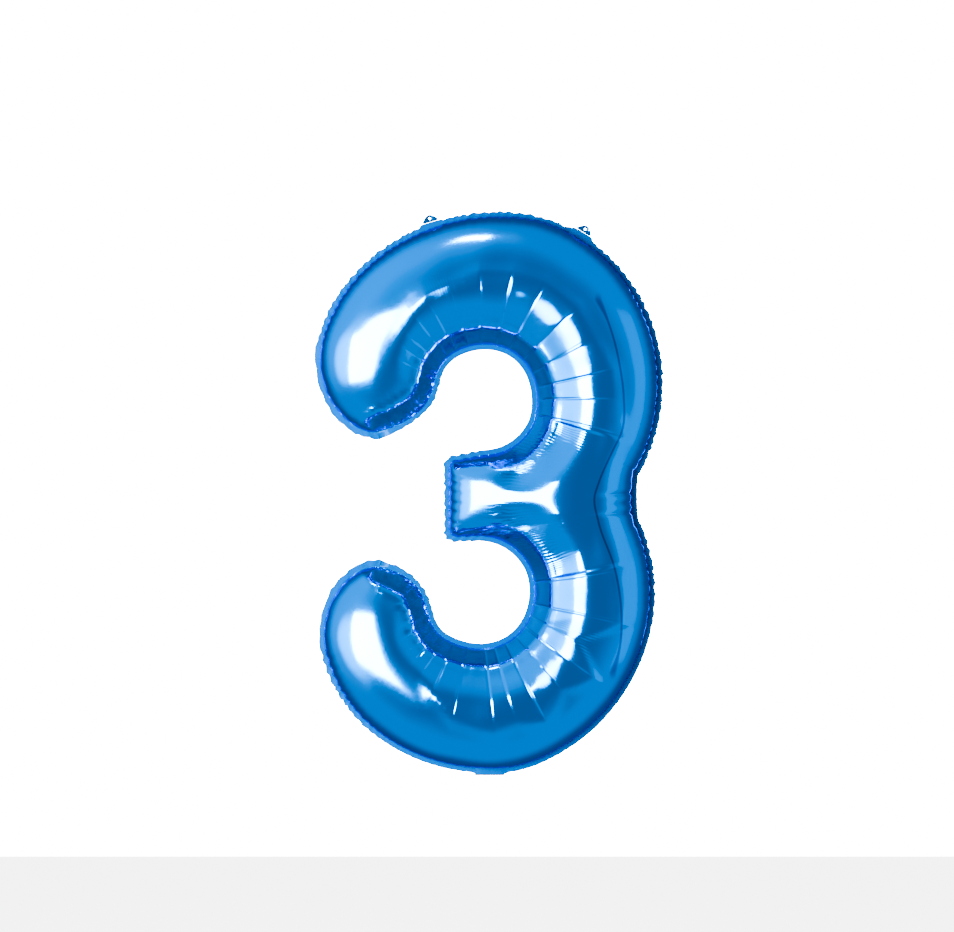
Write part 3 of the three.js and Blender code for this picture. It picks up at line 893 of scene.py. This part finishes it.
def weld_tips(obj):
    """Joins points that meet, as at the figure's two tips, and removes faces with no area."""
    work = bmesh.new()
    work.from_mesh(obj.data)
    bmesh.ops.remove_doubles(work, verts=work.verts, dist=0.02 * MM)
    bmesh.ops.dissolve_degenerate(work, edges=work.edges, dist=0.01 * MM)
    work.to_mesh(obj.data)
    work.free()


# ---------------------------------------------------------------- materials
FILM_TONE = (0.0, 0.28, 0.95)
# Painted shade: the dark colour that the film takes along the long crease down the right side.
PAINTED_FOLD_SHADE = (0.0, 0.07, 0.36)
FLANGE_TONE = (0.0, 0.055, 0.20)
SEAL_TONE = (0.01, 0.12, 0.42)
VALVE_TONE = (0.62, 0.68, 0.74)
EDGE_TINT = (0.05, 0.35, 0.9)  # of the foil seen at a slant
FILM_ROUGHNESS = 0.13
PRESSED = {"metallic": -0.9, "roughness": 0.3}  # what pressing adds to the film's values
RIBS = {"spacing": 0.0042, "drift": 0.006, "strength": 0.25, "height": 0.0006}  # lengths in metres


def feed(links, socket, value):
    """Sets a socket to a number or colour, or links it to the output of another node."""
    if isinstance(value, (int, float)):
        socket.default_value = value
    elif isinstance(value, tuple):
        socket.default_value = (*value, 1)
    else:
        links.new(value, socket)


def math_node(nodes, links, operation, *values):
    """The result of a sum on values, each a number or the output of another node."""
    node = nodes.new("ShaderNodeMath")
    node.operation = operation
    for socket, value in zip(node.inputs, values):
        feed(links, socket, value)
    return node.outputs[0]


def map_range(nodes, links, value, start, stop, low_value, high_value):
    """A value carried smoothly from one range to another, and held at its ends."""
    node = nodes.new("ShaderNodeMapRange")
    node.interpolation_type = "SMOOTHSTEP"
    labels = ("Value", "From Min", "From Max", "To Min", "To Max")
    for label, given in zip(labels, (value, start, stop, low_value, high_value)):
        feed(links, node.inputs[label], given)
    return node.outputs["Result"]


def mix_colours(nodes, links, share, first, second):
    """A blend of two colours, each given as numbers or as the output of another node."""
    node = nodes.new("ShaderNodeMix")
    node.data_type = "RGBA"
    links.new(share, node.inputs["Factor"])
    for socket, value in zip((i for i in node.inputs if i.type == "RGBA"), (first, second)):
        feed(links, socket, value)
    return next(o for o in node.outputs if o.type == "RGBA")


def point_value(nodes, name):
    """The number that mark_points gave each point under a name."""
    node = nodes.new("ShaderNodeAttribute")
    node.attribute_name = name
    return node.outputs["Fac"]


def new_material(name, colour, roughness):
    """A plain material, and the nodes, links and shader to carry on with."""
    material = bpy.data.materials.new(name)
    material.use_nodes = True
    nodes = material.node_tree.nodes
    shader = nodes["Principled BSDF"]
    shader.inputs["Base Color"].default_value = (*colour, 1)
    shader.inputs["Roughness"].default_value = roughness
    return material, nodes, material.node_tree.links, shader


def noise_node(nodes, scale):
    node = nodes.new("ShaderNodeTexNoise")
    node.inputs["Scale"].default_value = scale
    return node


def foil_shader(name, colour, roughness):
    """The same for a metallised film under clear lacquer."""
    material, nodes, links, shader = new_material(name, colour, roughness)
    shader.inputs["Metallic"].default_value = 1.0
    shader.inputs["Specular Tint"].default_value = (*EDGE_TINT, 1)
    shader.inputs["Coat Weight"].default_value = 0.08
    shader.inputs["Coat Roughness"].default_value = 0.05
    return material, nodes, links, shader


def add_bump(nodes, links, shader, height, strength, distance, after=None):
    """Bump from a height, on top of an earlier bump where there is one."""
    bump = nodes.new("ShaderNodeBump")
    bump.inputs["Strength"].default_value = strength
    bump.inputs["Distance"].default_value = distance
    links.new(height, bump.inputs["Height"])
    if after is not None:
        links.new(after, bump.inputs["Normal"])
    links.new(bump.outputs["Normal"], shader.inputs["Normal"])
    return bump.outputs["Normal"]


def blue_foil():
    material, nodes, links, shader = foil_shader("blue_foil", FILM_TONE, FILM_ROUGHNESS)
    coordinates = nodes.new("ShaderNodeTexCoord")
    noise = noise_node(nodes, 38)
    noise.inputs["Detail"].default_value = 2
    links.new(coordinates.outputs["Object"], noise.inputs["Vector"])
    normal = add_bump(nodes, links, shader, noise.outputs["Fac"], 0.06, 0.002)
    # Fine ribs across the stroke, where the film is gathered between two creases.
    split = nodes.new("ShaderNodeSeparateXYZ")
    links.new(coordinates.outputs["UV"], split.inputs["Vector"])
    drift = math_node(nodes, links, "MULTIPLY", noise.outputs["Fac"], RIBS["drift"])
    place = math_node(nodes, links, "ADD", split.outputs["X"], drift)
    phase = math_node(nodes, links, "MULTIPLY", place, 2 * math.pi / RIBS["spacing"])
    wave = math_node(nodes, links, "SINE", phase, 0.0)
    ribs = math_node(nodes, links, "MULTIPLY", wave, point_value(nodes, "ribs"))
    add_bump(nodes, links, shader, ribs, RIBS["strength"], RIBS["height"], normal)
    # The flange has been pressed between hot bars, so it is duller than the film.
    pressed = point_value(nodes, "pressed")
    shine = math_node(nodes, links, "MULTIPLY_ADD", pressed, PRESSED["metallic"], 1.0)
    links.new(shine, shader.inputs["Metallic"])
    dull = math_node(nodes, links, "MULTIPLY_ADD", pressed, PRESSED["roughness"], FILM_ROUGHNESS)
    links.new(dull, shader.inputs["Roughness"])
    # Painted shade: the film's colour is darkened along the long crease down the right side.
    away = math_node(nodes, links, "ABSOLUTE", point_value(nodes, "fold"))
    line = map_range(nodes, links, away, 0.2, 1.0, 1.0, 0.0)
    creased = math_node(nodes, links, "MULTIPLY", line, point_value(nodes, "fold_shade"))
    film_tone = mix_colours(nodes, links, creased, FILM_TONE, PAINTED_FOLD_SHADE)
    whole_tone = mix_colours(nodes, links, pressed, film_tone, FLANGE_TONE)
    links.new(whole_tone, shader.inputs["Base Color"])
    return material


def fused_seal():
    material, nodes, links, shader = foil_shader("fused_seal", SEAL_TONE, 0.3)
    add_bump(nodes, links, shader, noise_node(nodes, 260).outputs["Fac"], 0.2, 0.0005)
    return material


def valve_film():
    material, nodes, links, shader = new_material("valve_film", VALVE_TONE, 0.32)
    shader.inputs["Alpha"].default_value = 0.6
    add_bump(nodes, links, shader, noise_node(nodes, 90).outputs["Fac"], 0.25, 0.001)
    return material


# ---------------------------------------------------------------- the smaller pieces
def dress(obj, node, body, material):
    obj.data.materials.append(material)
    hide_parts(node)
    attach(obj, body)


SEAL_PROUD = 0.04  # how far the fused layer shows past the films, as a share of its last row


def heat_seal():
    """The fused layer between the two flanges, which shows as a dark line along their edge."""
    inner, outer = flange_rows()
    columns = FLANGE_ROWS
    for strip in (inner, outer):
        strip[:, -1] += (strip[:, -1] - strip[:, -2]) * SEAL_PROUD
    inner_faces = grid_faces(STATIONS, columns, flip=True)
    outer_faces = grid_faces(STATIONS, columns) + STATIONS * columns
    faces = np.concatenate([inner_faces, outer_faces])
    points = np.concatenate([inner.reshape(-1, 3), outer.reshape(-1, 3)])
    obj = mesh_object("heat_seal", to_frame(points), faces)
    sharpen(obj, columns, [0, columns - 1])
    weld_tips(obj)
    thicken(obj, FILM_THICKNESS, 0)
    return obj


def hanging_tab(name, angle, fold, seed):
    """A round-topped tab with an eyelet, a little crumpled, standing on the upper rim."""
    ring, rows = TAB_MESH["ring"], TAB_MESH["rows"]
    half = TAB["width"] / 2
    eyelet = np.array([0, TAB["hole_height"]])
    turn = np.linspace(0, 2 * np.pi, ring, endpoint=False) + 1e-3
    way = np.stack([np.cos(turn), np.sin(turn)], -1)
    # Reach of the outline along each ray from the eyelet, found by stepping outwards.
    steps = np.linspace(0, TAB_MESH["reach"], TAB_MESH["steps"])
    ray = way[:, None, :] * steps[None, :, None] + eyelet
    fall = np.clip(1 - (np.abs(ray[..., 0]) / half) ** TAB["square"], 0, 1)
    within = (ray[..., 1] < TAB["height"] * fall ** TAB["full"]) & (ray[..., 1] > 0)
    reach = steps[np.argmin(within, axis=1)]
    share = np.linspace(0, 1, rows)
    radius = TAB["hole"] + (reach[:, None] - TAB["hole"]) * share[None, :]
    flat = way[:, None, :] * radius[..., None] + eyelet
    uneven = waves(flat.reshape(-1, 2), 5, 16, 7, seed).reshape(ring, rows)
    crumple = TAB_MESH["crumple"] * uneven * (0.3 + 0.7 * share)  # less beside the eyelet
    crumple *= ramp(flat[..., 1], 0, 6)  # and none at the fold
    lean = np.radians(90 - angle)
    root = polar(UPPER["centre"], angle, fold)
    x = root[0] + flat[..., 0] * np.cos(lean) + flat[..., 1] * np.sin(lean)
    z = root[1] - flat[..., 0] * np.sin(lean) + flat[..., 1] * np.cos(lean)
    points = np.stack([x, crumple, z], -1)
    points = np.concatenate([points, points[:1]])
    obj = mesh_object(name, to_frame(points.reshape(-1, 3)), grid_faces(ring + 1, rows, flip=True))
    sharpen(obj, rows, [0, rows - 1])
    weld_tips(obj)
    thicken(obj, TAB_MESH["thick"], 0)
    return obj


STRIP = {"long": 34, "wide": 18, "wobble": 0.12}


def thin_film(name, node, bow, seed, corner=0.0):
    """A thin strip of film that fills a flat CAD node's box, bowed and a little wavy."""
    low, high = (np.array(c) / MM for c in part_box(node))
    size = high - low
    thin = int(size.argmin())
    along = 1 if thin == 2 else 2
    long_steps, wide_steps = STRIP["long"], STRIP["wide"]
    t = np.linspace(0, 1, long_steps)[:, None] + np.zeros((1, wide_steps))
    u = np.linspace(-1, 1, wide_steps)[None, :] + np.zeros((long_steps, 1))
    # A quarter circle rounds each corner of the far end.
    from_end = (1 - t) * size[along]
    into_corner = 1 - from_end / max(corner, 1e-6)
    rounding = corner * (1 - np.sqrt(np.clip(1 - into_corner**2, 0, 1)))
    narrow = np.where(from_end < corner, rounding, 0)
    points = np.empty((long_steps, wide_steps, 3))
    points[..., 0] = (low[0] + high[0]) / 2 + u * (size[0] / 2 - narrow)
    points[..., along] = low[along] + t * size[along]
    flat = np.stack([points[..., 0], points[..., along]], -1).reshape(-1, 2)
    bowed = bow * (1 - u**2) * np.sin(np.pi * t * 0.5)
    wobble = STRIP["wobble"] * size[thin] * waves(flat, 6, 40, 14, seed).reshape(t.shape)
    points[..., thin] = (low[thin] + high[thin]) / 2 + bowed + wobble
    faces = grid_faces(long_steps, wide_steps)
    obj = mesh_object(name, points.reshape(-1, 3) * MM, faces)
    thicken(obj, VALVE_THICKNESS, 0)
    return obj


FOIL = blue_foil()
SEAL = fused_seal()
VALVE = valve_film()
BACK_SEED, TAB_SEED, TAIL_SEED, VALVE_SEED = 50, 61, 71, 81
VALVE_CORNER = 3.0
# The tail's pieces: node, how far each bows, radius of its corners, slot and material.
TAIL_PIECES = (
    ("tail_front_film", 0.9, 8.0, "blue_foil", FOIL),
    ("tail_back_film", -0.9, 8.0, "blue_foil", FOIL),
    ("tail_side_weld_left", 0.0, 0.0, "fused_seal", SEAL),
    ("tail_side_weld_right", 0.0, 0.0, "fused_seal", SEAL),
    ("valve_front_sleeve", 0.3, 2.0, "valve_film", VALVE),
    ("valve_back_sleeve", -0.3, 2.0, "valve_film", VALVE),
)
for film_name, seed, side, node in (
    ("front_film", 0, -1, "front_foil_panel"),
    ("back_film", BACK_SEED, 1, "back_foil_panel"),
):
    build_film(film_name, seed, side, node).data.materials.append(FOIL)
dress(heat_seal(), "perimeter_heat_seal", "balloon", SEAL)
for seed, (node, (angle, fold, body)) in enumerate(TABS.items(), TAB_SEED):
    dress(hanging_tab(node + "_film", angle, fold, seed), node, body, FOIL)
for seed, (node, bow, corner, slot, material) in enumerate(TAIL_PIECES, TAIL_SEED):
    strip = thin_film(node + "_thin", node, bow, seed, corner)
    dress(strip, node, "filling_tail", material)
for seed, node in enumerate(("valve_front_film", "valve_back_film"), VALVE_SEED):
    strip = thin_film(node + "_thin", node, 0.0, seed, VALVE_CORNER)
    dress(strip, node, "balloon", VALVE)


# ---------------------------------------------------------------- studio
def plain(name, colour, glow):
    """A matt surface that also glows a little, so that it stays pale in a dim studio."""
    material, _, _, shader = new_material(name, colour, 0.9)
    shader.inputs["Emission Color"].default_value = (1, 1, 1, 1)
    shader.inputs["Emission Strength"].default_value = glow
    return material


def stage_plane(name, corners, material):
    obj = mesh_object(name, corners, [(0, 1, 2, 3)], smooth=False)
    obj.data.materials.append(material)
    return obj


FLOOR = {"drop": 1.0, "half": 6, "colour": (0.86, 0.86, 0.87), "glow": 1.6}
half = FLOOR["half"]
floor_z = cad_box[0][2] - FLOOR["drop"]
floor_corners = [(x, y, floor_z) for x, y in ((-half, -half), (half, -half), (half, half), (-half, half))]
floor = stage_plane("floor", floor_corners, plain("pale_floor", FLOOR["colour"], FLOOR["glow"]))
floor.visible_glossy = False

PICTURE_WIDTH = 954
SENSOR = 36.0
SCALE = 1.5686 * MM  # metres to a picture point at the balloon
DISTANCE = 4.2
AIM = (-10.5, 25.5)  # how far right of and above the balloon's middle the camera looks, in points
middle = OFFSET + np.array([AIM[0] * SCALE, 0, AIM[1] * SCALE])
camera_data = bpy.data.cameras.new("camera")
camera_data.sensor_width = SENSOR
camera_data.lens = SENSOR * DISTANCE / (PICTURE_WIDTH * SCALE)
camera = bpy.data.objects.new("camera", camera_data)
camera.location = (middle[0], -DISTANCE, middle[2])
camera.rotation_euler = (math.pi / 2, 0, 0)
bpy.context.collection.objects.link(camera)
bpy.context.scene.camera = camera


def area_light(name, at, aim, size, power):
    """A rectangular lamp that points at the aim."""
    data = bpy.data.lights.new(name, "AREA")
    data.shape = "RECTANGLE"
    data.size, data.size_y = size
    data.energy = power
    lamp = bpy.data.objects.new(name, data)
    lamp.location = at
    direction = Vector(aim) - Vector(at)
    lamp.rotation_euler = direction.to_track_quat("-Z", "Y").to_euler()
    bpy.context.collection.objects.link(lamp)


# Lights: how far right, back and up from the balloon's middle, width and height, and power in watts.
for name, (right, back, up), size, power in (
    ("key_left", (-1.35, -2.3, 0.02), (1.45, 1.65), 220),
    ("strip_right", (2.6, -0.95, 0.0), (1.2, 3.0), 3.6),
    ("behind", (1.25, 2.35, 0.15), (1.1, 1.9), 26),
    ("top", (-0.30, -1.1, 2.6), (0.42, 0.26), 22),
):
    area_light(name, (OFFSET[0] + right, back, OFFSET[2] + up), tuple(OFFSET), size, power)


def glow_towards(nodes, links, direction, way, start, stop, most):
    """A soft glow that grows as a direction nears a given way."""
    towards = nodes.new("ShaderNodeVectorMath")
    towards.operation = "DOT_PRODUCT"
    towards.inputs[1].default_value = Vector(way).normalized()
    links.new(direction, towards.inputs[0])
    return map_range(nodes, links, towards.outputs["Value"], start, stop, 0.0, most)


CAMERA_SEES = 14.0  # the surroundings' strength where the camera looks straight at them


def studio_world():
    """Pale surroundings, dimmer in front and behind, with glows from the upper left and the left."""
    world = bpy.data.worlds.new("studio")
    world.use_nodes = True
    nodes = world.node_tree.nodes
    links = world.node_tree.links
    coordinates = nodes.new("ShaderNodeTexCoord")
    split = nodes.new("ShaderNodeSeparateXYZ")
    links.new(coordinates.outputs["Generated"], split.inputs["Vector"])
    front = map_range(nodes, links, split.outputs["Y"], -0.98, -0.55, 0.35, 0.70)
    behind = map_range(nodes, links, split.outputs["Y"], -0.1, 0.5, 0.0, -0.40)
    level = math_node(nodes, links, "ADD", front, behind)
    direction = coordinates.outputs["Generated"]
    glow = glow_towards(nodes, links, direction, (-0.80, -0.30, 0.45), 0.40, 0.97, 0.50)
    level = math_node(nodes, links, "ADD", level, glow)
    halo = glow_towards(nodes, links, direction, (-0.78, -0.62, -0.02), 0.90, 0.985, 2.4)
    level = math_node(nodes, links, "ADD", level, halo)
    path = nodes.new("ShaderNodeLightPath")
    strength = nodes.new("ShaderNodeMix")
    strength.inputs["B"].default_value = CAMERA_SEES
    links.new(path.outputs["Is Camera Ray"], strength.inputs["Factor"])
    links.new(level, strength.inputs["A"])
    background = nodes["Background"]
    background.inputs["Color"].default_value = (1, 1, 1, 1)
    links.new(strength.outputs["Result"], background.inputs["Strength"])
    bpy.context.scene.world = world


studio_world()
bpy.context.scene.view_settings.look = "AgX - High Contrast"
